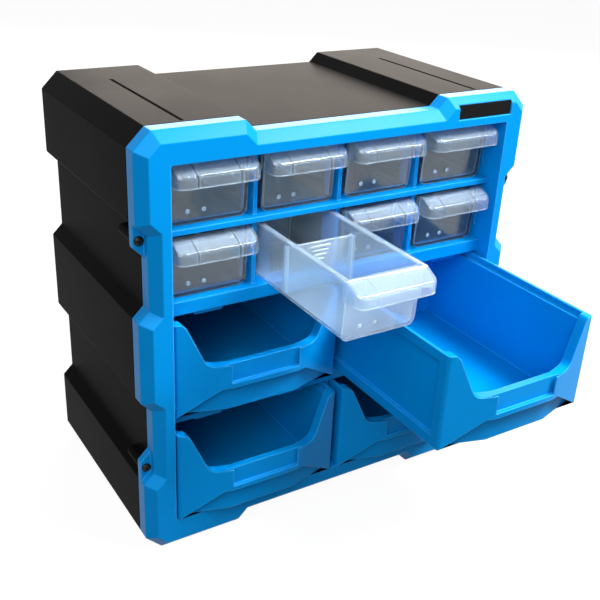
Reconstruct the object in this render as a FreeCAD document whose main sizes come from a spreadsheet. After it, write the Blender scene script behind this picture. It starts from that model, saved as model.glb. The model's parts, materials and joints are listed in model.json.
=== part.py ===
"""Parts drawer cabinet: a black shell behind a blue frame, eight clear drawers and four open-fronted bins.

Millimetres. +X is to the right, +Y runs from the front to the back and +Z is up. The pieces are drawn with
y = 0 on the seam between the frame and the shell, and placed so that the origin is the middle of the ground
under the whole cabinet with its open drawer and bin.
"""

import FreeCAD
import Part
import Sketcher
import os
import re

SIZES = (
    # the frame's opening and the twelve cells in it
    ("cell_width", 54.5, "clear width beside one small drawer"),
    ("partition_thick", 2.7, "upright partition between two cells"),
    ("drawer_cell", 39.4, "clear height of a small drawer's cell"),
    ("bin_cell", 62.9, "clear height of a bin's cell"),
    ("upper_lip", 3.5, "front edge of the shelf between the drawer rows"),
    ("middle_lip", 8.4, "front edge of the shelf under the drawers"),
    ("lower_lip", 8.0, "front edge of the shelf between the bin rows"),
    # the outline that the frame and the shell share
    ("side_border", 18.1, "frame beside the opening"),
    ("top_border", 18.0, "frame above the opening"),
    ("bottom_border", 21.5, "frame below the opening"),
    ("corner_cut", 10.0, "cut across each corner of the outline"),
    ("side_step", 6.5, "how far the sides step in between their raised parts"),
    ("end_bump", 50.0, "height of the raised part at each end of a side"),
    ("mid_bump", 25.5, "half height of the raised part in the middle of a side"),
    ("band_step", 6.5, "how far the top and the base step in between their raised bands"),
    ("band_inner", 62.2, "from the middle to the slope of a raised band"),
    # the front frame
    ("frame_depth", 15.0, "frame from the seam to its face"),
    ("frame_chamfer", 6.0, "bevel round the face"),
    ("frame_wall", 2.4, "wall of the hollow frame"),
    ("sleeve_depth", 8.0, "how far the frame's inner sleeve enters the shell"),
    ("ear_end", 63.5, "from an end of the side to the far edge of a screw ear"),
    ("ear_thick", 4.7, "screw ear"),
    ("ear_screw_drop", 59.5, "from an end of the side to the screw"),
    ("window_height", 8.5, "small window in the sleeve beside each drawer"),
    ("window_width", 1.2, "width of that window"),
    ("window_rise", 12.8, "from a drawer's shelf to the middle of that window"),
    ("window_back", 0.6, "from the seam to that window"),
    # the blank plate
    ("plate_width", 41.6, "blank plate"),
    ("plate_height", 8.6, "blank plate"),
    ("plate_thick", 0.9, "blank plate"),
    ("plate_side", 16.0, "from the side of the cabinet to the plate"),
    ("plate_top", 4.2, "from the top of the cabinet to the plate"),
    ("plate_pocket", 2.0, "depth of the plate's pocket"),
    # the rear shell
    ("shell_depth", 137.0, "shell from the seam to its back"),
    ("shell_wall", 2.5, "wall of the shell"),
    ("groove_width", 1.6, "groove along each raised band of the top"),
    ("groove_depth", 0.8, "depth of that groove"),
    ("groove_side", 32.5, "from the side of the cabinet to that groove"),
    ("groove_start", 3.0, "from the seam to that groove"),
    ("groove_length", 100.0, "length of that groove"),
    ("ledge_width", 7.0, "ledge that carries a shelf"),
    ("ledge_thick", 2.0, "ledge that carries a shelf"),
    ("runner_width", 6.5, "runner under the lower bins"),
    ("guide_height", 5.0, "guide rib between two drawers"),
    ("boss_radius", 3.3, "screw boss on the shell's side"),
    ("boss_length", 16.0, "screw boss on the shell's side"),
    # the screws
    ("screw_radius", 1.4, "shank of a frame screw"),
    ("screw_length", 16.0, "shank of a frame screw"),
    ("screw_gap", 0.08, "shank to the hole in the boss"),
    ("screw_pass", 0.3, "shank to the hole in the ear"),
    ("screw_head", 2.75, "radius of the head"),
    ("screw_head_height", 1.9, "height of the head"),
    ("screw_slot", 0.7, "width of the cross in the head"),
    # the shelves
    ("shelf_thick", 2.5, "shelf plate"),
    ("lip_thick", 2.5, "front edge of a shelf"),
    ("lip_setback", 10.0, "from the frame's face to a shelf's front edge"),
    ("partition_setback", 4.0, "from a shelf's front edge to a partition's"),
    ("partition_depth", 15.0, "partition from front to back"),
    ("tab_width", 18.0, "stop tab over a bin"),
    ("tab_offset", 29.0, "from the middle of a bin to a stop tab"),
    ("tab_drop", 3.0, "how far a stop tab hangs below the shelf's front edge"),
    ("tab_thick", 2.0, "stop tab"),
    ("fit_gap", 0.3, "clearance where a fixed piece is pushed in"),
    ("run_gap", 0.3, "clearance under a drawer or a bin"),
    # the small drawers
    ("drawer_side_gap", 1.75, "cell wall to a drawer's rim"),
    ("drawer_headroom", 2.8, "cell height over a drawer's height"),
    ("drawer_rear_gap", 2.5, "drawer to the shell's back wall"),
    ("drawer_setback", 13.0, "from the frame's face to a drawer's front rim"),
    ("drawer_wall", 1.5, "wall of a drawer"),
    ("drawer_corner", 4.5, "round along a drawer's lower edges"),
    ("drawer_lean", 2.5, "how far a drawer's front leans out"),
    ("rim_out", 1.5, "rim beyond the drawer's wall"),
    ("rim_thick", 1.5, "height of the rim"),
    ("hood_depth", 13.5, "handle in front of the rim"),
    ("hood_flat", 4.0, "flat part of the handle's top"),
    ("hood_drop", 4.9, "fall of the handle's top to its skirt"),
    ("skirt_height", 6.6, "skirt of the handle"),
    ("hood_corner", 5.5, "round at the handle's corners"),
    ("hood_brow", 1.3, "bevel between the handle's top and its skirt"),
    ("hood_rib", 12.8, "from the middle to a rib under the handle"),
    ("hood_rib_thick", 1.2, "rib under the handle"),
    ("slot_place", 62.0, "from the front rim to the divider"),
    ("slot_rib", 1.3, "each rib beside the divider"),
    ("slot_height", 31.0, "top of those ribs over the drawer's bottom"),
    ("divider_thick", 1.3, "clear divider"),
    ("divider_gap", 0.25, "clearance round the divider"),
    ("bar_height", 0.9, "grip bars on the divider"),
    ("bar_pitch", 2.6, "grip bars on the divider"),
    ("bar_long", 13.0, "longest grip bar"),
    ("bar_relief", 0.5, "how far the grip bars stand out"),
    # the bins
    ("bin_side_gap", 1.3, "cell wall to a bin"),
    ("bin_headroom", 2.4, "cell height over a bin's height"),
    ("bin_rear_gap", 2.5, "bin to the shell's back wall"),
    ("bin_setback", 3.0, "from the frame's face to the edge of a bin's front"),
    ("bin_wall", 2.0, "wall of a bin"),
    ("rail_out", 2.5, "rails beyond a bin's wall"),
    ("rail_height", 4.0, "upright part of the top rail"),
    ("rail_lap", 2.0, "thickness of the top rail's ledge"),
    ("foot_height", 7.0, "foot rail"),
    ("bulge", 9.5, "how far the middle of a bin's front stands forward"),
    ("front_thick", 7.0, "hollow front wall of a bin, front to back"),
    ("front_skin", 2.0, "each skin of that wall"),
    ("front_corner", 2.5, "round at the side edges of a bin's front"),
    ("bin_lip", 32.0, "height of the lip in the middle of a bin's front"),
    ("cut_top", 48.0, "half width of the cut-out at the top"),
    ("cut_low", 36.5, "half width of the cut-out at its foot"),
    ("cut_corner", 7.0, "round at the foot of the cut-out"),
    ("ear_bevel", 2.5, "bevel beside the cut-out at the top of a cheek"),
    ("arch_height", 16.5, "lower edge of the front over the bin's bottom"),
    ("arch_half", 28.0, "half width of the level part of that edge"),
    ("label_half", 22.7, "half width of the label window"),
    ("label_height", 12.0, "label window"),
    ("label_depth", 2.6, "label window"),
    ("label_groove", 3.0, "side groove that holds the label"),
    ("label_skin", 1.6, "front of that groove"),
    ("label_back", 1.3, "plate behind and below the label"),
    # where the moving pieces stand in the reference view
    ("drawer_pull", 86.0, "how far the open drawer is pulled out"),
    ("bin_pull", 97.0, "how far the open bin is pulled out"),
    ("lower_bin_pull", 4.0, "how far the lower bins stand out"),
)

doc = FreeCAD.newDocument("parts_drawer_cabinet")
sheet = doc.addObject("Spreadsheet::Sheet", "Sizes")
for row, (alias, value, meaning) in enumerate(SIZES, start=1):
    sheet.set(f"A{row}", str(value))
    sheet.setAlias(f"A{row}", alias)
    sheet.set(f"B{row}", meaning)
doc.recompute()

# derived places, as formulas of the sheet's values
CELL_PITCH = "(cell_width + partition_thick)"
HALF_OPENING = f"(2 * {CELL_PITCH})"
HALF_WIDTH = f"({HALF_OPENING} + side_border)"
LOWER_SHELF = "(bottom_border + bin_cell + lower_lip)"
MIDDLE_SHELF = f"({LOWER_SHELF} + bin_cell + middle_lip)"
UPPER_SHELF = f"({MIDDLE_SHELF} + drawer_cell + upper_lip)"
OPENING_TOP = f"({UPPER_SHELF} + drawer_cell)"
HEIGHT = f"({OPENING_TOP} + top_border)"
SCREW_OUT = f"({HALF_WIDTH} - boss_radius)"
BIN_CELL_WIDTH = f"({HALF_OPENING} - partition_thick / 2)"
BIN_PLACE = f"({HALF_OPENING} / 2 + partition_thick / 4)"
LIP_FRONT = "(lip_setback - frame_depth)"
PARTITION_FRONT = f"({LIP_FRONT} + partition_setback)"
PARTITION_BACK = f"({PARTITION_FRONT} + partition_depth)"
INSIDE_BACK = "(shell_depth - shell_wall)"
BEHIND_SLEEVE = "(sleeve_depth + fit_gap)"

DRAWER_HALF = "(cell_width / 2 - drawer_side_gap)"
DRAWER_HEIGHT = "(drawer_cell - drawer_headroom)"
DRAWER_FRONT = "(drawer_setback - frame_depth)"
DRAWER_LENGTH = f"({INSIDE_BACK} - drawer_rear_gap - {DRAWER_FRONT})"
TUB_HALF = f"({DRAWER_HALF} - rim_out)"
SKIRT_TOP = f"({DRAWER_HEIGHT} - hood_drop)"
SKIRT_BOTTOM = f"({SKIRT_TOP} - skirt_height)"

BIN_HALF = f"({BIN_CELL_WIDTH} / 2 - bin_side_gap)"
BIN_HEIGHT = "(bin_cell - bin_headroom)"
BIN_FRONT = "(bin_setback - frame_depth)"
BIN_LENGTH = f"({INSIDE_BACK} - bin_rear_gap - {BIN_FRONT})"
BIN_TUB_HALF = f"({BIN_HALF} - rail_out)"

GROUND_MIDDLE = f"((shell_depth + {BIN_FRONT} - bulge - bin_pull) / 2)"


def bound(formula):
    """The formula with each of the sheet's names made a reference to its cell."""
    return re.sub(r"\b([a-z]\w*)\b", r"Sizes.\1", formula)


def number(formula):
    """The formula's present value."""
    return float(sheet.evalExpression(bound(formula)))


def bind(thing, prop, formula):
    thing.setExpression(prop, bound(formula))


def new_body(name):
    return doc.addObject("PartDesign::Body", name)


def origin_plane(body, role):
    return next(item for item in body.Origin.OriginFeatures if item.Role == role)


def new_sketch(body, plane, height="0"):
    """An empty sketch on a plane of the body, moved along the plane's normal."""
    sketch = body.newObject("Sketcher::SketchObject", "Sketch")
    sketch.AttachmentSupport = [(origin_plane(body, plane), "")]
    sketch.MapMode = "FlatFace"
    bind(sketch, ".AttachmentOffset.Base.z", height)
    return sketch


def hold(sketch, ties):
    """Adds constraints in one go, each with the formula that drives it, or none."""
    first = sketch.ConstraintCount
    sketch.addConstraint([tie for tie, formula in ties])
    for index, (tie, formula) in enumerate(ties, start=first):
        if formula is not None:
            bind(sketch, f"Constraints[{index}]", formula)


def point_ties(curve, end, across, up):
    """The two distances that hold one point of a curve."""
    return [
        (Sketcher.Constraint("DistanceX", -1, 1, curve, end, number(across)), across),
        (Sketcher.Constraint("DistanceY", -1, 1, curve, end, number(up)), up),
    ]


def draw_outline(sketch, corners):
    """A closed outline of straight lines, each corner given as two formulas."""
    spots = [FreeCAD.Vector(number(across), number(up), 0) for across, up in corners]
    following = spots[1:] + spots[:1]
    first = sketch.GeometryCount
    sketch.addGeometry([Part.LineSegment(start, end) for start, end in zip(spots, following)])
    ties = []
    for index, (across, up) in enumerate(corners):
        line = first + index
        before = first + (index - 1) % len(corners)
        ties.append((Sketcher.Constraint("Coincident", before, 2, line, 1), None))
        ties.extend(point_ties(line, 1, across, up))
    hold(sketch, ties)
    return sketch


def draw_circle(sketch, across, up, radius):
    centre = FreeCAD.Vector(number(across), number(up), 0)
    circle = sketch.addGeometry(Part.Circle(centre, FreeCAD.Vector(0, 0, 1), number(radius)))
    round_tie = (Sketcher.Constraint("Radius", circle, number(radius)), radius)
    hold(sketch, point_ties(circle, 3, across, up) + [round_tie])
    return sketch


def rectangle(left, right, low, high):
    return [(left, low), (right, low), (right, high), (left, high)]


def mirrored(corners):
    """The corners of one half, given from the middle outwards, and their mirror images."""
    return corners + [(f"-({across})", up) for across, up in reversed(corners)]


def pad(sketch, length, backwards=False, both=False):
    feature = sketch.getParentGeoFeatureGroup().newObject("PartDesign::Pad", "Pad")
    feature.Profile = sketch
    feature.Reversed = backwards
    feature.Midplane = both
    bind(feature, "Length", length)
    sketch.Visibility = False
    return feature


def pocket(sketch, depth=None, backwards=False, both=False):
    """A cut into the plane's back, as deep as given or right through."""
    feature = sketch.getParentGeoFeatureGroup().newObject("PartDesign::Pocket", "Pocket")
    feature.Profile = sketch
    feature.Reversed = backwards
    feature.Midplane = both
    if depth is None:
        feature.Type = "ThroughAll"
    else:
        bind(feature, "Length", depth)
    return feature


def names_of(kind, shapes, test):
    return [f"{kind}{index}" for index, shape in enumerate(shapes, start=1) if test(shape)]


def dress(kind, feature, edges, size, prop):
    """A fillet or a chamfer on the named edges of a feature."""
    made = feature.getParentGeoFeatureGroup().newObject(f"PartDesign::{kind}", kind)
    made.Base = (feature, edges)
    bind(made, prop, size)
    return made


def hollow(feature, test, wall):
    """The feature with the faces that pass the test left open and the rest a wall."""
    doc.recompute()
    made = feature.getParentGeoFeatureGroup().newObject("PartDesign::Thickness", "Hollow")
    made.Base = (feature, names_of("Face", feature.Shape.Faces, test))
    made.Reversed = True
    made.Mode = "Skin"
    made.Join = "Intersection"
    bind(made, "Value", wall)
    return made


def faces_at(axis, formula):
    """A test for flat faces square to an axis at a place."""
    place = number(formula)

    def test(face):
        box = face.BoundBox
        low, high = getattr(box, f"{axis}Min"), getattr(box, f"{axis}Max")
        return abs(low - place) < 0.01 and abs(high - place) < 0.01

    return test


def extrusion(sketch, length, backwards=False, both=False):
    """A solid prism on a free sketch, for use in a boolean."""
    made = doc.addObject("Part::Extrusion", "Prism")
    made.Base = sketch
    made.DirMode = "Normal"
    made.Solid = True
    made.Reversed = backwards
    made.Symmetric = both
    bind(made, "LengthFwd", length)
    return made


def joined(name, pieces):
    made = doc.addObject("Part::MultiFuse", name)
    made.Shapes = pieces
    made.Refine = True
    return made


def cut_from(base, tool):
    made = doc.addObject("Part::Cut", "Cut")
    made.Base = base
    made.Tool = tool
    return made


def overlap(*pieces):
    made = doc.addObject("Part::MultiCommon", "Overlap")
    made.Shapes = list(pieces)
    return made


def locate(part, label, across="0", along="0", up="0"):
    """Gives a sub-part its label and its place, with the seam put back from the origin."""
    part.Label = label
    bind(part, ".Placement.Base.x", across)
    bind(part, ".Placement.Base.y", f"{along} - {GROUND_MIDDLE}")
    bind(part, ".Placement.Base.z", up)
    return part


def placed_copy(source, label, across, along, up):
    link = doc.addObject("App::Link", label)
    link.LinkedObject = source
    return locate(link, label, across, along, up)


def cabinet_outline():
    """The stepped outline seen from the front: raised bands above and below, raised parts on the sides."""
    half_height = f"({HEIGHT} / 2)"
    quarter = [
        ("band_inner", f"{half_height} - band_step"),
        ("band_inner + band_step", half_height),
        (f"{HALF_WIDTH} - corner_cut", half_height),
        (HALF_WIDTH, f"{half_height} - corner_cut"),
        (HALF_WIDTH, f"{half_height} - end_bump"),
        (f"{HALF_WIDTH} - side_step", f"{half_height} - end_bump - side_step"),
        (f"{HALF_WIDTH} - side_step", "mid_bump + side_step"),
        (HALF_WIDTH, "mid_bump"),
    ]
    upper = [(across, f"{half_height} + {up}") for across, up in quarter]
    lower = [(across, f"{half_height} - ({up})") for across, up in reversed(quarter)]
    return mirrored(upper + lower)


def make_rear_shell():
    """The black shell, with ledges for the shelves, runners for the lower bins and bosses for the screws."""
    body = new_body("ShellBody")
    block = pad(draw_outline(new_sketch(body, "XZ_Plane"), cabinet_outline()), "shell_depth", backwards=True)
    hollow(block, faces_at("Y", "0"), "shell_wall")
    for side in ("", "-"):
        middle = f"{side}({HALF_WIDTH} - groove_side)"
        groove = rectangle(
            f"{middle} - groove_width / 2",
            f"{middle} + groove_width / 2",
            "groove_start",
            "groove_start + groove_length",
        )
        pocket(draw_outline(new_sketch(body, "XY_Plane", HEIGHT), groove), "groove_depth")

    envelope = new_body("ShellEnvelope")
    pad(draw_outline(new_sketch(envelope, "XZ_Plane"), cabinet_outline()), "shell_depth", backwards=True)
    ribs = new_body("ShellRibs")
    ribs.AllowCompound = True
    ledge_in = f"({HALF_WIDTH} - side_step - shell_wall - ledge_width)"
    for shelf in (LOWER_SHELF, MIDDLE_SHELF, UPPER_SHELF):
        seat = f"{shelf} - shelf_thick"
        for side in ("", "-"):
            ledge = rectangle(f"{side}{ledge_in}", f"{side}{HALF_WIDTH}", f"{seat} - ledge_thick", seat)
            sketch = draw_outline(new_sketch(ribs, "XZ_Plane", f"-{BEHIND_SLEEVE}"), ledge)
            pad(sketch, f"{INSIDE_BACK} - {BEHIND_SLEEVE} + shell_wall / 2", backwards=True)
    runners = [mirrored([
        ("partition_thick / 2 + runner_width", "bottom_border"),
        ("partition_thick / 2 + runner_width", "shell_wall / 2"),
    ])]
    guides = [mirrored([
        ("partition_thick / 2", "bottom_border + guide_height"),
        ("partition_thick / 2", "bottom_border / 2"),
    ])]
    for side in ("", "-"):
        inner = f"{side}({HALF_OPENING} - runner_width)"
        seat = f"{side}{HALF_OPENING}"
        outer = f"{side}({HALF_OPENING} + partition_thick)"
        runners.append(rectangle(inner, outer, "shell_wall / 2", "bottom_border"))
        guides.append(rectangle(seat, outer, "bottom_border / 2", "bottom_border + guide_height"))
    for outlines, start in ((runners, BEHIND_SLEEVE), (guides, f"({PARTITION_BACK} + fit_gap)")):
        for outline in outlines:
            sketch = draw_outline(new_sketch(ribs, "XZ_Plane", f"-{start}"), outline)
            pad(sketch, f"{INSIDE_BACK} - {start} + shell_wall / 2", backwards=True)

    bosses = []
    for side in ("", "-"):
        for height in (f"{HEIGHT} - ear_screw_drop", "ear_screw_drop"):
            boss = new_body("Boss")
            outline = draw_circle(new_sketch(boss, "XZ_Plane"), f"{side}{SCREW_OUT}", height, "boss_radius")
            pad(outline, "boss_length", backwards=True)
            web = rectangle(
                f"{side}({HALF_WIDTH} - side_step - shell_wall / 2)",
                f"{side}{SCREW_OUT}",
                f"{height} - boss_radius",
                f"{height} + boss_radius",
            )
            pad(draw_outline(new_sketch(boss, "XZ_Plane"), web), "boss_length", backwards=True)
            bosses.append(boss)
    solid = joined("ShellSolid", [body, overlap(ribs, envelope)] + bosses)

    holes = []
    for side in ("", "-"):
        for height in (f"{HEIGHT} - ear_screw_drop", "ear_screw_drop"):
            hole = doc.addObject("Part::Cylinder", "BossHole")
            bind(hole, "Radius", "screw_radius + screw_gap")
            bind(hole, "Height", "boss_length - shell_wall")
            hole.Placement.Rotation = FreeCAD.Rotation(FreeCAD.Vector(1, 0, 0), -90)
            bind(hole, ".Placement.Base.x", f"{side}{SCREW_OUT}")
            bind(hole, ".Placement.Base.z", height)
            holes.append(hole)
    return locate(cut_from(solid, joined("BossHoles", holes)), "rear_shell")


def make_front_frame():
    """The hollow bevelled frame with its sleeve, its screw ears and the pocket for the plate."""
    body = new_body("FrameBody")
    block = pad(draw_outline(new_sketch(body, "XZ_Plane"), cabinet_outline()), "frame_depth")
    doc.recompute()
    on_face = faces_at("Y", "-frame_depth")
    bevel = dress("Chamfer", block, names_of("Edge", block.Shape.Edges, on_face), "frame_chamfer", "Size")
    opening = rectangle(f"-{HALF_OPENING}", HALF_OPENING, "bottom_border", OPENING_TOP)
    hole = pocket(draw_outline(new_sketch(body, "XZ_Plane", "frame_depth"), opening))
    hollow(hole, faces_at("Y", "0"), "frame_wall")

    sleeve = new_sketch(body, "XZ_Plane")
    draw_outline(sleeve, opening)
    draw_outline(sleeve, rectangle(
        f"-({HALF_OPENING} + frame_wall)",
        f"{HALF_OPENING} + frame_wall",
        "bottom_border - frame_wall",
        f"{OPENING_TOP} + frame_wall",
    ))
    pad(sleeve, "sleeve_depth", backwards=True)
    for shelf in (MIDDLE_SHELF, UPPER_SHELF):
        middle = f"{shelf} + window_rise"
        window = rectangle(
            "window_back",
            "window_back + window_width",
            f"{middle} - window_height / 2",
            f"{middle} + window_height / 2",
        )
        pocket(draw_outline(new_sketch(body, "YZ_Plane"), window), both=True)

    inside = f"{HALF_WIDTH} - side_step - frame_wall / 2"
    ear = [
        (inside, "end_bump"),
        (HALF_WIDTH, "end_bump"),
        (HALF_WIDTH, "ear_end"),
        (f"{HALF_WIDTH} - side_step", "ear_end + side_step"),
        (inside, "ear_end + side_step"),
    ]
    for side in ("", "-"):
        lower = [(f"{side}({across})", up) for across, up in ear]
        upper = [(across, f"{HEIGHT} - ({up})") for across, up in lower]
        for outline in (lower, upper):
            pad(draw_outline(new_sketch(body, "XZ_Plane"), outline), "ear_thick")
        for height in (f"{HEIGHT} - ear_screw_drop", "ear_screw_drop"):
            circle = new_sketch(body, "XZ_Plane", "ear_thick")
            draw_circle(circle, f"{side}{SCREW_OUT}", height, "screw_radius + screw_pass")
            pocket(circle, "ear_thick")

    left = f"{HALF_WIDTH} - plate_side - plate_width - fit_gap"
    right = f"{HALF_WIDTH} - plate_side + fit_gap"
    low = f"{HEIGHT} - plate_top - plate_height - fit_gap"
    backing = rectangle(
        f"{left} - frame_wall", f"{right} + frame_wall", f"{low} - frame_wall", f"{HEIGHT} - plate_top"
    )
    back = "frame_depth - plate_pocket - frame_wall"
    pad(draw_outline(new_sketch(body, "XZ_Plane", back), backing), "plate_pocket")
    recess = rectangle(left, right, low, HEIGHT)
    pocket(draw_outline(new_sketch(body, "XZ_Plane", "frame_depth"), recess), "plate_pocket")
    return locate(body, "front_frame")


def make_plate():
    body = new_body("PlateBody")
    plate = rectangle("-plate_width / 2", "plate_width / 2", "0", "plate_height")
    pad(draw_outline(new_sketch(body, "XZ_Plane"), plate), "plate_thick")
    across = f"{HALF_WIDTH} - plate_side - plate_width / 2"
    up = f"{HEIGHT} - plate_top - plate_height"
    return locate(body, "blank_plate", across, "plate_pocket - frame_depth", up)


def make_screws():
    """Four pan-head screws with a cross in the head, through the ears into the bosses."""
    body = new_body("ScrewBody")
    profile = draw_outline(new_sketch(body, "YZ_Plane"), [
        ("0", "0"),
        ("-screw_head_height", "0"),
        ("-screw_head_height", "screw_head / 2"),
        ("-screw_head_height / 2", "screw_head"),
        ("0", "screw_head"),
        ("0", "screw_radius"),
        ("screw_length - screw_radius", "screw_radius"),
        ("screw_length", "0"),
    ])
    turned = body.newObject("PartDesign::Revolution", "Turned")
    turned.Profile = profile
    turned.ReferenceAxis = (profile, ["H_Axis"])
    turned.Angle = 360
    arm = "screw_head / 2"
    half = "screw_slot / 2"
    for wide, tall in ((arm, half), (half, arm)):
        cross = rectangle(f"-{wide}", wide, f"-{tall}", tall)
        pocket(draw_outline(new_sketch(body, "XZ_Plane", "screw_head_height"), cross), "screw_head_height / 2")
    copies = []
    for side, out in (("right", SCREW_OUT), ("left", f"-{SCREW_OUT}")):
        for level, height in (("upper", f"{HEIGHT} - ear_screw_drop"), ("lower", "ear_screw_drop")):
            copies.append(placed_copy(body, f"{level}_{side}_screw", out, "-ear_thick", height))
    screws = doc.addObject("Part::Compound", "Screws")
    screws.Links = copies
    screws.Label = "frame_screws"
    return screws


def make_rail(name, level, lip, partitions, rise, hang=None, tabs=False):
    """The blue front of a shelf: its front edge, a narrow plate, the partitions and the bins' stop tabs."""
    body = new_body("RailBody")
    half = f"({HALF_OPENING} - fit_gap)"
    plate = rectangle(f"-{half}", half, LIP_FRONT, "sleeve_depth")
    pad(draw_outline(new_sketch(body, "XY_Plane"), plate), "shelf_thick", backwards=True)
    edge = rectangle(f"-{half}", half, f"-{lip}", "0")
    pad(draw_outline(new_sketch(body, "XZ_Plane", f"-{LIP_FRONT}"), edge), "lip_thick", backwards=True)
    tab_middles = [f"{side}{BIN_PLACE} {way} tab_offset" for side in ("", "-") for way in "+-"] if tabs else []
    for middle in tab_middles:
        left, right = f"{middle} - tab_width / 2", f"{middle} + tab_width / 2"
        tab = rectangle(left, right, f"-{lip} - tab_drop", "-shelf_thick / 2")
        sketch = draw_outline(new_sketch(body, "XZ_Plane", f"-({LIP_FRONT} + lip_thick)"), tab)
        pad(sketch, "tab_thick", backwards=True)
    for middle in partitions:
        left, right = f"{middle} - partition_thick / 2", f"{middle} + partition_thick / 2"
        partition = rectangle(left, right, PARTITION_FRONT, PARTITION_BACK)
        pad(draw_outline(new_sketch(body, "XY_Plane"), partition), rise)
        if hang is not None:
            pad(draw_outline(new_sketch(body, "XY_Plane", "-shelf_thick"), partition), hang, backwards=True)
    return placed_copy(body, name, "0", "0", level)


def make_shelf(name, level, partitions):
    """The black plate behind a rail, lying on the shell's ledges, with low guides between the cells."""
    body = new_body("ShelfBody")
    half = f"({HALF_WIDTH} - side_step - shell_wall - fit_gap)"
    back = f"({INSIDE_BACK} - fit_gap)"
    plate = rectangle(f"-{half}", half, BEHIND_SLEEVE, back)
    pad(draw_outline(new_sketch(body, "XY_Plane"), plate), "shelf_thick", backwards=True)
    sides = [(f"{side}{HALF_OPENING}", f"{side}({HALF_OPENING} + partition_thick)") for side in ("", "-")]
    between = [(f"{middle} - partition_thick / 2", f"{middle} + partition_thick / 2") for middle in partitions]
    for left, right in sides + between:
        guide = rectangle(left, right, f"({PARTITION_BACK} + fit_gap)", back)
        pad(draw_outline(new_sketch(body, "XY_Plane"), guide), "guide_height")
    return placed_copy(body, name, "0", "0", level)


def make_small_drawer():
    """A clear drawer: a tub with a leaning front, a rim and a hooded handle."""
    tub = new_body("DrawerTub")
    section = rectangle(f"-{TUB_HALF}", TUB_HALF, "0", DRAWER_HEIGHT)
    block = pad(draw_outline(new_sketch(tub, "XZ_Plane"), section), f"{DRAWER_LENGTH} - rim_out", backwards=True)
    doc.recompute()

    def lower_side(edge):
        box = edge.BoundBox
        return box.ZMax < 0.01 and box.XLength < 0.01

    rounded = dress("Fillet", block, names_of("Edge", block.Shape.Edges, lower_side), "drawer_corner", "Radius")
    lean = [
        ("-drawer_wall", DRAWER_HEIGHT),
        ("0", DRAWER_HEIGHT),
        ("drawer_lean", "0"),
        ("drawer_lean", "-drawer_wall"),
        ("-drawer_wall", "-drawer_wall"),
    ]
    leaning = pocket(draw_outline(new_sketch(tub, "YZ_Plane"), lean), both=True)
    hollow(leaning, faces_at("Z", DRAWER_HEIGHT), "drawer_wall")
    rim = new_sketch(tub, "XY_Plane", f"{DRAWER_HEIGHT} - rim_thick")
    inner_half = f"({TUB_HALF} - drawer_wall)"
    draw_outline(rim, rectangle(f"-{DRAWER_HALF}", DRAWER_HALF, "0", DRAWER_LENGTH))
    draw_outline(rim, rectangle(
        f"-{inner_half}", inner_half, "drawer_wall", f"{DRAWER_LENGTH} - rim_out - drawer_wall"
    ))
    pad(rim, "rim_thick")
    for edge in ("- divider_gap - divider_thick / 2 - slot_rib", "+ divider_gap + divider_thick / 2"):
        for side in ("", "-"):
            rib = rectangle(
                f"{side}({inner_half} - slot_rib)",
                f"{side}({inner_half} + drawer_wall / 2)",
                f"slot_place {edge}",
                f"slot_place {edge} + slot_rib",
            )
            sketch = draw_outline(new_sketch(tub, "XY_Plane", "drawer_corner / 2"), rib)
            pad(sketch, "slot_height - drawer_corner / 2")

    hood = new_body("DrawerHood")
    behind = "drawer_wall"
    plan = rectangle(f"-{DRAWER_HALF}", DRAWER_HALF, "-hood_depth", behind)
    block = pad(draw_outline(new_sketch(hood, "XY_Plane", SKIRT_BOTTOM), plan), "skirt_height + hood_drop")
    doc.recompute()
    front = number("-hood_depth")

    def front_corner(edge):
        box = edge.BoundBox
        return box.ZLength > 1 and abs(box.YMax - front) < 0.01

    rounded = dress("Fillet", block, names_of("Edge", block.Shape.Edges, front_corner), "hood_corner", "Radius")
    slope = [
        ("-hood_flat", DRAWER_HEIGHT),
        ("-hood_depth", SKIRT_TOP),
        ("-hood_depth - drawer_wall", SKIRT_TOP),
        ("-hood_depth - drawer_wall", f"{DRAWER_HEIGHT} + drawer_wall"),
        ("-hood_flat", f"{DRAWER_HEIGHT} + drawer_wall"),
    ]
    sloping = pocket(draw_outline(new_sketch(hood, "YZ_Plane"), slope), both=True)
    open_low = faces_at("Z", SKIRT_BOTTOM)
    open_back = faces_at("Y", behind)
    shell = hollow(sloping, lambda face: open_low(face) or open_back(face), "drawer_wall")
    doc.recompute()
    crest, flat_end, side = number(SKIRT_TOP), number("-hood_flat"), number(DRAWER_HALF)

    def brow(edge):
        box = edge.BoundBox
        on_slope = box.ZMin > crest - 0.01 and box.YMax < flat_end + 0.01 and box.YMin < flat_end - 0.01
        outside = abs(max(-box.XMin, box.XMax) - side) < 0.01 or abs(box.YMin - front) < 0.01
        return on_slope and outside

    dress("Chamfer", shell, names_of("Edge", shell.Shape.Edges, brow), "hood_brow", "Size")
    web = [
        ("drawer_wall / 2", f"{DRAWER_HEIGHT} - drawer_wall / 2"),
        ("-hood_flat", f"{DRAWER_HEIGHT} - drawer_wall / 2"),
        ("-hood_depth + drawer_wall / 2", f"{SKIRT_TOP} - drawer_wall / 2"),
        ("-hood_depth + drawer_wall / 2", SKIRT_BOTTOM),
        (f"drawer_lean * (1 - {SKIRT_BOTTOM} / {DRAWER_HEIGHT}) + drawer_wall / 2", SKIRT_BOTTOM),
    ]
    for place in ("hood_rib - hood_rib_thick / 2", "-hood_rib - hood_rib_thick / 2"):
        pad(draw_outline(new_sketch(hood, "YZ_Plane", place), web), "hood_rib_thick")
    return joined("SmallDrawer", [tub, hood])


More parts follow.
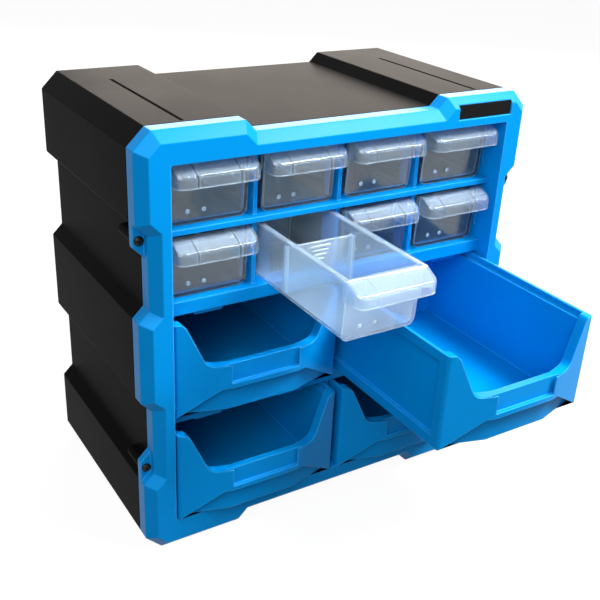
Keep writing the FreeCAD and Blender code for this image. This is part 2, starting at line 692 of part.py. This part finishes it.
def make_divider():
    """The clear plate that stands between the slot ribs, with four grip bars."""
    body = new_body("DividerBody")
    half = f"({TUB_HALF} - drawer_wall - divider_gap)"
    corner = "(drawer_corner - drawer_wall)"
    plate = mirrored([
        (f"{half} - {corner}", "drawer_wall + divider_gap"),
        (half, f"drawer_wall + divider_gap + {corner}"),
        (half, "slot_height"),
    ])
    pad(draw_outline(new_sketch(body, "XZ_Plane"), plate), "divider_thick", both=True)
    for step in range(4):
        reach = f"(bar_long / 2 - {step} * bar_pitch / 2)"
        high = f"(slot_height - {step + 1} * bar_pitch)"
        bar = rectangle(f"-{reach}", reach, f"{high} - bar_height", high)
        sketch = draw_outline(new_sketch(body, "XZ_Plane", "divider_thick / 2"), bar)
        pad(sketch, "bar_relief")
    return body


def front_line(behind):
    """A line in plan that follows a bin's front, at a distance behind its outer face, right half."""
    return [("label_half", f"{behind} - bulge"), (BIN_HALF, behind)]


def make_bin_tub():
    """The bin's floor, railed side walls and back wall, whose raised middle meets the stop tabs."""
    tub = new_body("BinTub")
    start = "(front_thick - front_skin)"
    inner = f"({BIN_TUB_HALF} - bin_wall)"
    rail_foot = f"({BIN_HEIGHT} - rail_height)"
    section = mirrored([
        (inner, "bin_wall"),
        (inner, rail_foot),
        (f"{BIN_HALF} - bin_wall", rail_foot),
        (f"{BIN_HALF} - bin_wall", BIN_HEIGHT),
        (BIN_HALF, BIN_HEIGHT),
        (BIN_HALF, f"{rail_foot} - rail_lap"),
        (BIN_TUB_HALF, f"{rail_foot} - rail_lap"),
        (BIN_TUB_HALF, "foot_height"),
        (BIN_HALF, "foot_height"),
        (BIN_HALF, "0"),
    ])
    pad(draw_outline(new_sketch(tub, "XZ_Plane", f"-{start}"), section), f"{BIN_LENGTH} - {start}", backwards=True)
    stop = "(tab_offset + tab_width / 2)"
    back = mirrored([
        (stop, BIN_HEIGHT),
        (f"{stop} + rail_height", rail_foot),
        (f"{BIN_TUB_HALF} - bin_wall / 2", rail_foot),
        (f"{BIN_TUB_HALF} - bin_wall / 2", "bin_wall / 2"),
    ])
    pad(draw_outline(new_sketch(tub, "XZ_Plane", f"-{BIN_LENGTH}"), back), "bin_wall")
    floor = mirrored(front_line("front_thick - front_skin / 2") + [(BIN_HALF, "2 * front_thick")])
    pad(draw_outline(new_sketch(tub, "XY_Plane"), floor), "bin_wall")
    return tub


def make_bin_front():
    """The bin's hollow front: cut out above, arched below, with a window for a label."""
    wall = new_body("BinFront")
    plan = mirrored(front_line("0") + list(reversed(front_line("front_thick"))))
    pad(draw_outline(new_sketch(wall, "XY_Plane"), plan), BIN_HEIGHT)
    cut_out = mirrored([
        ("cut_low", "bin_lip"),
        ("cut_top", f"{BIN_HEIGHT} - ear_bevel"),
        ("cut_top + ear_bevel", BIN_HEIGHT),
        ("cut_top + ear_bevel", f"{BIN_HEIGHT} + ear_bevel"),
    ])
    opened = pocket(draw_outline(new_sketch(wall, "XZ_Plane"), cut_out), both=True)
    doc.recompute()
    lip = number("bin_lip")
    low = number("cut_low")
    side = number(BIN_HALF)

    def cut_out_foot(edge):
        box = edge.BoundBox
        return abs(box.ZMin - lip) < 0.01 and box.ZLength < 0.01 and abs(abs(box.Center.x) - low) < 0.01

    rounded = dress("Fillet", opened, names_of("Edge", opened.Shape.Edges, cut_out_foot), "cut_corner", "Radius")
    doc.recompute()

    def outer_corner(edge):
        box = edge.BoundBox
        return box.ZLength > lip and abs(abs(box.Center.x) - side) < 0.01 and abs(box.YMin) < 0.01

    corners = names_of("Edge", rounded.Shape.Edges, outer_corner)
    softened = dress("Fillet", rounded, corners, "front_corner", "Radius")
    hollow(softened, faces_at("Z", "0"), "front_skin")

    window_half = "label_half + label_groove"
    low = "(bin_lip - label_height)"
    backing = rectangle(
        f"-({window_half} + label_back)", f"{window_half} + label_back", f"{low} - label_back", "bin_lip"
    )
    sketch = draw_outline(new_sketch(wall, "XZ_Plane", "bulge - label_depth - label_back"), backing)
    pad(sketch, "label_back + label_depth - label_skin")
    window = rectangle("-label_half", "label_half", low, "bin_lip")
    pocket(draw_outline(new_sketch(wall, "XZ_Plane", "bulge"), window), "label_depth")
    groove = rectangle(f"-({window_half})", window_half, low, "bin_lip")
    sketch = draw_outline(new_sketch(wall, "XZ_Plane", "bulge - label_skin"), groove)
    pocket(sketch, "label_depth - label_skin")

    arch = doc.addObject("Sketcher::SketchObject", "ArchOutline")
    arch.Placement.Rotation = FreeCAD.Rotation(FreeCAD.Vector(1, 0, 0), 90)
    draw_outline(arch, mirrored([
        ("arch_half", "arch_height"),
        (f"{BIN_HALF} - front_skin / 2", "0"),
        (f"{BIN_HALF} - front_skin / 2", "-front_skin"),
    ]))
    outer_skin = doc.addObject("Sketcher::SketchObject", "OuterSkin")
    bind(outer_skin, ".Placement.Base.z", "-front_skin")
    draw_outline(outer_skin, mirrored(front_line("-front_thick") + list(reversed(front_line("front_thick / 2")))))
    arch_way = overlap(
        extrusion(arch, "4 * bulge", both=True), extrusion(outer_skin, "arch_height + 2 * front_skin")
    )
    return cut_from(wall, arch_way)


def finish(parts):
    """Checks every object and sub-part, then writes one file for each sub-part."""
    doc.recompute()
    for item in doc.Objects:
        if {"Invalid", "Error"} & set(item.State):
            raise RuntimeError(f"{item.Name} {item.Label} {item.State}")
    os.makedirs("parts", exist_ok=True)
    for part in parts:
        shape = part.Shape
        if shape.isNull() or not shape.isValid():
            raise RuntimeError(f"{part.Label} has no valid shape")
        shape.exportStep(f"parts/{part.Label}.step")
        print(part.Label, len(shape.Solids), round(shape.Volume), shape.BoundBox)


parts = [make_rear_shell(), make_front_frame(), make_plate(), make_screws()]

cell_edges = (f"-{CELL_PITCH}", "0", CELL_PITCH)
to_top = "drawer_cell - fit_gap"
to_upper = "drawer_cell + upper_lip - shelf_thick - fit_gap"
to_middle = "bin_cell + middle_lip - shelf_thick - fit_gap"
to_sill = "bin_cell + lower_lip - shelf_thick - fit_gap"
parts += [
    make_rail("upper_rail", UPPER_SHELF, "upper_lip", cell_edges, to_top),
    make_rail("middle_rail", MIDDLE_SHELF, "middle_lip", cell_edges, to_upper, tabs=True),
    make_rail("lower_rail", LOWER_SHELF, "lower_lip", ("0",), to_middle, hang=to_sill, tabs=True),
    make_shelf("upper_shelf", UPPER_SHELF, cell_edges),
    make_shelf("middle_shelf", MIDDLE_SHELF, cell_edges),
    make_shelf("lower_shelf", LOWER_SHELF, ("0",)),
]

small_drawer = make_small_drawer()
columns = [f"({step} * {CELL_PITCH})" for step in (-1.5, -0.5, 0.5, 1.5)]
for row, shelf in ((1, UPPER_SHELF), (2, MIDDLE_SHELF)):
    for column, place in enumerate(columns, start=1):
        front = DRAWER_FRONT
        if (row, column) == (2, 2):
            front = f"{DRAWER_FRONT} - drawer_pull"
            divider = placed_copy(
                make_divider(), "drawer_divider", place, f"{front} + slot_place", f"{shelf} + run_gap"
            )
            parts.append(divider)
        label = f"small_drawer_r{row}_c{column}"
        parts.append(placed_copy(small_drawer, label, place, front, f"{shelf} + run_gap"))

storage_bin = joined("StorageBin", [make_bin_tub(), make_bin_front()])
for row, shelf, pulls in ((1, LOWER_SHELF, ("0", "bin_pull")), (2, "bottom_border", ("lower_bin_pull",) * 2)):
    for column, (side, pull) in enumerate(zip(("-", ""), pulls), start=1):
        label = f"bin_r{row}_c{column}"
        place = f"{side}{BIN_PLACE}"
        parts.append(placed_copy(storage_bin, label, place, f"{BIN_FRONT} - {pull}", f"{shelf} + run_gap"))

finish(parts)
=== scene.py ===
"""Parts drawer cabinet: materials, softened edges, small moulded details, light and camera."""

import json
import math

import bmesh
import bpy
from mathutils import Matrix, Vector


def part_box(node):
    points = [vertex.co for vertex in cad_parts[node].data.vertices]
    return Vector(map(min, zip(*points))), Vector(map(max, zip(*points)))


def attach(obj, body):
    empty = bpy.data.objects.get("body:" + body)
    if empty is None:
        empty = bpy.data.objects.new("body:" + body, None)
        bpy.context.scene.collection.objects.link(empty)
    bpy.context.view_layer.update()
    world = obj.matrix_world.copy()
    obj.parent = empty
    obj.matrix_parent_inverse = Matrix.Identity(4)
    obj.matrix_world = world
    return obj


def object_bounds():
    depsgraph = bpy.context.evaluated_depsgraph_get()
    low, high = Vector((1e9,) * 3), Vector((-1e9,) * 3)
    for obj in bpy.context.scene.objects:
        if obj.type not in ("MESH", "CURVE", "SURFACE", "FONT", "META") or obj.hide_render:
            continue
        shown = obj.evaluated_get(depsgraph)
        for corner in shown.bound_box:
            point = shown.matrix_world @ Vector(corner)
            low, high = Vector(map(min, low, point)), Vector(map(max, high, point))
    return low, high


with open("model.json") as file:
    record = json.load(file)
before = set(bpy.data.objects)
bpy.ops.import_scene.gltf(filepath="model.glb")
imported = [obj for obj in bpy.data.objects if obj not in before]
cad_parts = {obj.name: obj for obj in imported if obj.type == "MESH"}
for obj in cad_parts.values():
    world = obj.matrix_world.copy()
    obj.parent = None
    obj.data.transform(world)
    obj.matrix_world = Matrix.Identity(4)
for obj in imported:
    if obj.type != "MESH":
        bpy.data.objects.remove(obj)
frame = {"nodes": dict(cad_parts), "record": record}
cad_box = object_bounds()
nodes = frame["nodes"]
record = frame["record"]
mm = 0.001


# Colours and shader nodes


def hex_colour(code):
    """An sRGB hex value as linear RGBA."""
    channels = [int(code[place:place + 2], 16) / 255 for place in (1, 3, 5)]
    linear = [c / 12.92 if c <= 0.04045 else ((c + 0.055) / 1.055) ** 2.4 for c in channels]
    return (*linear, 1.0)


def add_node(tree, kind, settings=None, links=None):
    """Adds a shader node, sets its properties or input values, and links its inputs."""
    node = tree.nodes.new(kind)
    for name, value in (settings or {}).items():
        if isinstance(name, int) or name in node.inputs:
            node.inputs[name].default_value = value
        else:
            setattr(node, name, value)
    for name, socket in (links or {}).items():
        tree.links.new(socket, node.inputs[name])
    return node


def new_material(name):
    """An empty material and its node tree."""
    material = bpy.data.materials.new(name)
    material.use_nodes = True
    material.node_tree.nodes.clear()
    return material, material.node_tree


def near_edges(tree, width_mm):
    """1 along a moulding's sharp edges and 0 on its faces, from how far a rounded normal turns away."""
    rounded = add_node(tree, "ShaderNodeBevel", {"samples": 4, "Radius": width_mm * mm})
    flat = add_node(tree, "ShaderNodeNewGeometry")
    agree = add_node(tree, "ShaderNodeVectorMath", {"operation": "DOT_PRODUCT"}, {
        0: rounded.outputs["Normal"], 1: flat.outputs["True Normal"],
    })
    return add_node(tree, "ShaderNodeMapRange", {
        "From Min": 0.97, "From Max": 0.86, "To Min": 0.0, "To Max": 1.0,
    }, {"Value": agree.outputs["Value"]}).outputs["Result"]


# Moulded plastics and the screws' steel

# Tone and gloss change slowly over a moulding, as the melt flowed into its mould.
flow_mm = 60
gloss_spread = 0.02


def grained_finish(name, colour, shade, grain_mm, grain_height_mm, roughness, settings, edge=None):
    """A moulded or blackened surface: fine grain, slow changes of tone and gloss, and, when edge is given,
    a painted highlight of a lighter colour along its edges.

    The grain that a spark-eroded mould leaves is about 0.1 mm. It is drawn coarser, so that it shows.
    """
    material, tree = new_material(name)
    where = add_node(tree, "ShaderNodeTexCoord").outputs["Object"]
    grain = add_node(tree, "ShaderNodeTexNoise", {
        "Scale": 1 / (grain_mm * mm), "Detail": 3.0, "Roughness": 0.6,
    }, {"Vector": where})
    flow = add_node(tree, "ShaderNodeTexNoise", {
        "Scale": 1 / (flow_mm * mm), "Detail": 4.0, "Roughness": 0.55, "Distortion": 0.6,
    }, {"Vector": where})
    spread = add_node(tree, "ShaderNodeMapRange", {
        "From Min": 0.35, "From Max": 0.65, "To Min": 0.0, "To Max": 1.0,
    }, {"Value": flow.outputs["Fac"]})
    paint = add_node(tree, "ShaderNodeMix", {
        "data_type": "RGBA", 6: hex_colour(colour), 7: hex_colour(shade),
    }, {0: spread.outputs["Result"]}).outputs[2]
    if edge:
        # Painted highlight: a lighter colour is mixed in along the edges, in place of lamps glinting on
        # their rounding.
        edge_highlight_colour, edge_highlight_share, edge_width_mm = edge
        painted_edge_highlight = add_node(tree, "ShaderNodeMath", {"operation": "MULTIPLY", 1: edge_highlight_share}, {
            0: near_edges(tree, edge_width_mm),
        })
        paint = add_node(tree, "ShaderNodeMix", {"data_type": "RGBA", 7: hex_colour(edge_highlight_colour)}, {
            0: painted_edge_highlight.outputs[0], 6: paint,
        }).outputs[2]
    gloss = add_node(tree, "ShaderNodeMapRange", {
        "From Min": 0.3, "From Max": 0.7,
        "To Min": roughness - gloss_spread, "To Max": roughness + gloss_spread,
    }, {"Value": flow.outputs["Fac"]})
    bump = add_node(tree, "ShaderNodeBump", {
        "Strength": 1.0, "Distance": grain_height_mm * mm,
    }, {"Height": grain.outputs["Fac"]})
    shader = add_node(tree, "ShaderNodeBsdfPrincipled", settings, {
        "Base Color": paint, "Roughness": gloss.outputs["Result"], "Normal": bump.outputs["Normal"],
    })
    add_node(tree, "ShaderNodeOutputMaterial", links={"Surface": shader.outputs["BSDF"]})
    return material


# Polypropylene with carbon black, moulded with a dull grain: near black, and grey where it faces a lamp.
black_polypropylene = grained_finish(
    "moulded_black_polypropylene", "#0d0d0e", "#111111", 0.7, 0.012, 0.42, {"IOR": 1.05}
)
# Blue polypropylene, moulded smoother: an even blue with a broad soft shine, and a painted highlight of
# lighter blue along its edges.
blue_moulding = ("#008bd8", "#0088d3", 0.9, 0.005, 0.3, {"IOR": 1.14}, ("#58c0f4", 0.6, 1.1))
blue_polypropylene = grained_finish("moulded_blue_polypropylene", *blue_moulding)
# The bins are moulded from the same blue, in their own material slot.
bin_polypropylene = grained_finish("moulded_bin_polypropylene", *blue_moulding)
# ABS moulded in a polished mould: a deep black with a faint even gloss.
plate_abs = grained_finish("moulded_gloss_abs", "#060607", "#08080a", 1.2, 0.002, 0.3, {"IOR": 1.2})
# Blackened steel: dark, with a dull metal glint on the heads.
black_steel = grained_finish(
    "blackened_steel", "#0c0c0d", "#131314", 0.5, 0.01, 0.35, {"Metallic": 0.6}
)

# The way that the sloping top of a drawer's handle faces.
handle_slope = (0.0, -0.46, 0.888)
# Edges within this width look whiter, because more plastic lies behind them.
rim_width_mm = 1.2


def clarified_plastic(name, clear_share, rim_share, slope_highlight_share):
    """Moulded clarified polypropylene: clear and glossy, with a little white haze and whiter rims.

    clear_share of the light passes through its walls and rim_share through its rims. The handle's slope is
    slope_highlight_share of the way from the one to the other, as a painted highlight.
    """
    material, tree = new_material(name)
    where = add_node(tree, "ShaderNodeTexCoord").outputs["Object"]
    # The walls ripple slightly every 9 mm or so.
    ripple = add_node(tree, "ShaderNodeTexNoise", {
        "Scale": 1 / (9 * mm), "Detail": 2.0, "Roughness": 0.5,
    }, {"Vector": where})
    bump = add_node(tree, "ShaderNodeBump", {"Strength": 1.0, "Distance": 0.02 * mm}, {
        "Height": ripple.outputs["Fac"],
    })
    tone = add_node(tree, "ShaderNodeMix", {
        "data_type": "RGBA", 6: hex_colour("#e4f4ff"), 7: hex_colour("#dcf0ff"),
    }, {0: ripple.outputs["Fac"]})
    slant = add_node(tree, "ShaderNodeLayerWeight", {"Blend": 0.5})
    edge_on = add_node(tree, "ShaderNodeMapRange", {"From Min": 0.72, "From Max": 0.98}, {
        "Value": slant.outputs["Facing"],
    })
    at_rims = add_node(tree, "ShaderNodeMath", {"operation": "MAXIMUM"}, {
        0: edge_on.outputs["Result"], 1: near_edges(tree, rim_width_mm),
    })
    # Painted highlight: the handle's sloping top is made whiter than the walls, in place of a lamp's
    # reflection on it.
    face = add_node(tree, "ShaderNodeNewGeometry")
    along_slope = add_node(tree, "ShaderNodeVectorMath", {"operation": "DOT_PRODUCT", 1: handle_slope}, {
        0: face.outputs["True Normal"],
    })
    painted_slope_highlight = add_node(tree, "ShaderNodeMapRange", {
        "From Min": 0.96, "From Max": 0.985, "To Max": slope_highlight_share,
    }, {"Value": along_slope.outputs["Value"]})
    whiter = add_node(tree, "ShaderNodeMath", {"operation": "MAXIMUM"}, {
        0: at_rims.outputs[0], 1: painted_slope_highlight.outputs["Result"],
    })
    clear = add_node(tree, "ShaderNodeMapRange", {"To Min": clear_share, "To Max": rim_share}, {
        "Value": whiter.outputs[0],
    })
    shader = add_node(tree, "ShaderNodeBsdfPrincipled", {
        "IOR": 1.1, "Roughness": 0.12, "Coat Weight": 1.0, "Coat IOR": 1.5, "Coat Roughness": 0.07,
    }, {
        "Base Color": tone.outputs[2], "Normal": bump.outputs["Normal"],
        "Transmission Weight": clear.outputs["Result"],
    })
    add_node(tree, "ShaderNodeOutputMaterial", links={"Surface": shader.outputs["BSDF"]})
    return material


# The shaded copy of the drawers' plastic, for the drawers in the cabinet's shade: clear, with a whiter
# handle from a painted highlight.
clear_polypropylene = clarified_plastic("moulded_clarified_polypropylene", 0.965, 0.5, 0.3)
# A lit copy of the same plastic, for the drawer that stands out in the light and its divider: painted light
# makes it hazier and whiter. The nubs of the drawers in the shade, being thicker, use it too.
lit_and_thick_polypropylene = clarified_plastic("moulded_hazy_polypropylene", 0.82, 0.36, 0.0)
# That drawer's small nubs are nearly white: thick plastic, made whiter still by the same painted light as
# the rest of that drawer.
clouded_and_lit_polypropylene = clarified_plastic("moulded_clouded_polypropylene", 0.45, 0.3, 0.0)

finishes = {
    "black_plastic": black_polypropylene,
    "blue_plastic": blue_polypropylene,
    "bin_blue": bin_polypropylene,
    "clear_plastic": clear_polypropylene,
    "plate_black": plate_abs,
    "screw_steel": black_steel,
}
open_drawer = "small_drawer_r2_c2"
divider = "drawer_divider"

# Softened edges

edge_radius_mm = {
    "black_plastic": 0.6,
    "blue_plastic": 0.5,
    "bin_blue": 0.4,
    "clear_plastic": 0.25,
    "plate_black": 0.15,
    "screw_steel": 0.12,
}
# The divider's grip bars stand out only 0.5 mm.
bar_radius_mm = 0.12


def soften(piece, radius):
    """Rounds a moulded piece's sharp edges, as its mould does, and keeps its flat faces flat."""
    weld = piece.modifiers.new("weld", "WELD")
    weld.merge_threshold = 0.002 * mm
    flat = piece.modifiers.new("flat", "DECIMATE")
    flat.decimate_type = "DISSOLVE"
    flat.angle_limit = math.radians(0.5)
    bevel = piece.modifiers.new("edges", "BEVEL")
    bevel.width = radius
    bevel.segments = 2
    bevel.limit_method = "ANGLE"
    bevel.angle_limit = math.radians(28)
    bevel.use_clamp_overlap = False
    flatter = piece.modifiers.new("flat_faces", "WEIGHTED_NORMAL")
    flatter.weight = 100
    flatter.keep_sharp = False


for entry in record["subparts"]:
    name = entry["node"]
    slot = entry["material_slot"]
    mesh = nodes[name].data
    mesh.materials.clear()
    # The drawer that stands out, and its divider, get the lit copy of the plastic, as painted light.
    mesh.materials.append(lit_and_thick_polypropylene if name in (open_drawer, divider) else finishes[slot])
    for face in mesh.polygons:
        face.use_smooth = True
    soften(nodes[name], (bar_radius_mm if name == divider else edge_radius_mm[slot]) * mm)

# Two low nubs on the lower left of each drawer's front, which leans out towards its top

drawer_height_mm = 36.6
front_lean_mm = 2.5
front_tilt = math.atan2(front_lean_mm, drawer_height_mm)
handle_reach_mm = 13.5
nub_rise_mm = 7.6
# At the nubs the front stands this share of its lean behind its top.
lean_share_at_nubs = 0.8
nubs_across_mm = (-12.7, -2.9)
# Radius and height of a nub's outline in mm, from its tip to its foot just inside the wall.
nub_profile = [(0.0, 0.95), (0.5, 0.86), (0.9, 0.6), (1.12, 0.2), (1.45, -0.05), (0.0, -0.05)]
turns = 20


def drawer_nubs(drawer):
    """Turns the nub's outline round the front's own normal, once for each nub."""
    low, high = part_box(drawer)
    front_y = low.y + (handle_reach_mm + front_lean_mm * lean_share_at_nubs) * mm
    mesh = bmesh.new()
    for across in nubs_across_mm:
        foot = Vector(((low.x + high.x) / 2 + across * mm, front_y, low.z + nub_rise_mm * mm))
        rings = []
        for radius, out in nub_profile:
            ring = []
            for step in range(turns):
                angle = 2 * math.pi * step / turns
                point = Vector((radius * math.cos(angle), -out, radius * math.sin(angle))) * mm
                point.rotate(Matrix.Rotation(-front_tilt, 3, "X"))
                ring.append(mesh.verts.new(foot + point))
            rings.append(ring)
        for inner, outer in zip(rings, rings[1:]):
            for step in range(turns):
                after = (step + 1) % turns
                mesh.faces.new((inner[step], inner[after], outer[after], outer[step]))
    bmesh.ops.remove_doubles(mesh, verts=mesh.verts, dist=0.01 * mm)
    bmesh.ops.recalc_face_normals(mesh, faces=mesh.faces)
    shape = bpy.data.meshes.new(f"{drawer}_nubs")
    mesh.to_mesh(shape)
    mesh.free()
    for face in shape.polygons:
        face.use_smooth = True
    # The open drawer's nubs are the whitest, partly by painted light.
    shape.materials.append(clouded_and_lit_polypropylene if drawer == open_drawer else lit_and_thick_polypropylene)
    nubs = bpy.data.objects.new(f"{drawer}_nubs", shape)
    bpy.context.scene.collection.objects.link(nubs)
    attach(nubs, drawer)


for entry in record["subparts"]:
    if entry["node"].startswith("small_drawer"):
        drawer_nubs(entry["node"])

# Light

middle = Vector((0.0, 0.05, 0.13))


def soft_box(name, away, size, power, colour="#ffffff"):
    """A rectangular lamp that stands away from the middle of the cabinet and shines at it."""
    lamp = bpy.data.lights.new(name, "AREA")
    lamp.shape = "RECTANGLE"
    lamp.size, lamp.size_y = size
    lamp.energy = power
    lamp.color = hex_colour(colour)[:3]
    light = bpy.data.objects.new(name, lamp)
    bpy.context.scene.collection.objects.link(light)
    light.location = middle + away
    light.visible_camera = False
    light.rotation_euler = (middle - light.location).to_track_quat("-Z", "Y").to_euler()


soft_box("key_softbox", Vector((0.45, -0.44, 0.78)).normalized() * 1.2, (0.5, 0.45), 13.0)
soft_box("overhead_softbox", Vector((0.655, -0.48, 1.10)), (0.60, 0.50), 23.0)
# It stands where the shell's top mirrors it towards the camera, as a warm grey sheen.
soft_box("top_sheen_softbox", Vector((0.489, 0.755, 0.437)).normalized() * 1.5, (1.1, 0.8), 22.0, "#fff1e4")
soft_box("fill_softbox", Vector((-0.55, -0.6, 0.58)).normalized() * 1.6, (1.0, 1.0), 15.0)


def seen_directly(tree):
    """1 for rays from the camera, in reflections and through clear plastic, and 0 for light."""
    path = add_node(tree, "ShaderNodeLightPath")
    straight = add_node(tree, "ShaderNodeMath", {"operation": "MAXIMUM"}, {
        0: path.outputs["Is Camera Ray"], 1: path.outputs["Is Glossy Ray"],
    })
    through = add_node(tree, "ShaderNodeMath", {"operation": "MAXIMUM"}, {
        0: straight.outputs[0], 1: path.outputs["Is Transmission Ray"],
    })
    return through.outputs[0]


# The sky lights the cabinet at 0.2 and is seen as white.
world = bpy.data.worlds.new("studio")
bpy.context.scene.world = world
world.use_nodes = True
tree = world.node_tree
tree.nodes.clear()
level = add_node(tree, "ShaderNodeMapRange", {"To Min": 0.2, "To Max": 1.0}, {"Value": seen_directly(tree)})
sky = add_node(tree, "ShaderNodeBackground", {"Color": hex_colour("#ffffff")}, {
    "Strength": level.outputs["Result"],
})
add_node(tree, "ShaderNodeOutputWorld", links={"Surface": sky.outputs["Background"]})

# Floor

reach = 6.0
floor_drop = 0.2 * mm
floor_mesh = bpy.data.meshes.new("floor")
floor_mesh.from_pydata(
    [(-reach, -reach, 0), (reach, -reach, 0), (reach, reach, 0), (-reach, reach, 0)], [], [(0, 1, 2, 3)]
)
floor = bpy.data.objects.new("floor", floor_mesh)
bpy.context.scene.collection.objects.link(floor)
floor.location.z = cad_box[0][2] - floor_drop

# Matt paper with a fine fleck of 2.5 mm. Its glow makes it white to the eye, and its shadow stays.
floor_paint, tree = new_material("matt_paper_sweep")
fleck = add_node(tree, "ShaderNodeTexNoise", {"Scale": 1 / (2.5 * mm), "Detail": 2.0})
tint = add_node(tree, "ShaderNodeMix", {
    "data_type": "RGBA", 6: hex_colour("#525252"), 7: hex_colour("#585858"),
}, {0: fleck.outputs["Fac"]})
paper = add_node(tree, "ShaderNodeBsdfDiffuse", links={"Color": tint.outputs[2]})
white = add_node(tree, "ShaderNodeMath", {"operation": "MULTIPLY", 1: 0.94}, {0: seen_directly(tree)})
glow = add_node(tree, "ShaderNodeEmission", {"Color": hex_colour("#ffffff")}, {
    "Strength": white.outputs[0],
})
both = add_node(tree, "ShaderNodeAddShader", links={
    0: paper.outputs["BSDF"], 1: glow.outputs["Emission"],
})
add_node(tree, "ShaderNodeOutputMaterial", links={"Surface": both.outputs["Shader"]})
floor_mesh.materials.append(floor_paint)

# The camera stands to the left of the cabinet, in front of it and above it, as fitted to the photograph.
camera_data = bpy.data.cameras.new("camera")
camera_data.lens = 54.32
camera_data.sensor_width = 36.0
camera_data.clip_start = 0.01
camera = bpy.data.objects.new("camera", camera_data)
bpy.context.scene.collection.objects.link(camera)
standpoint = (-0.29490, -0.42872, 0.38791)
right = Vector((0.85066, -0.52366, 0.04650)).normalized()
ahead = Vector((0.48870, 0.75506, -0.43709)).normalized()
right = (right - ahead * right.dot(ahead)).normalized()
up = right.cross(ahead)
turn = Matrix((right, up, -ahead)).transposed().to_4x4()
camera.matrix_world = Matrix.Translation(standpoint) @ turn
bpy.context.scene.camera = camera
bpy.context.scene.view_settings.view_transform = "Standard"
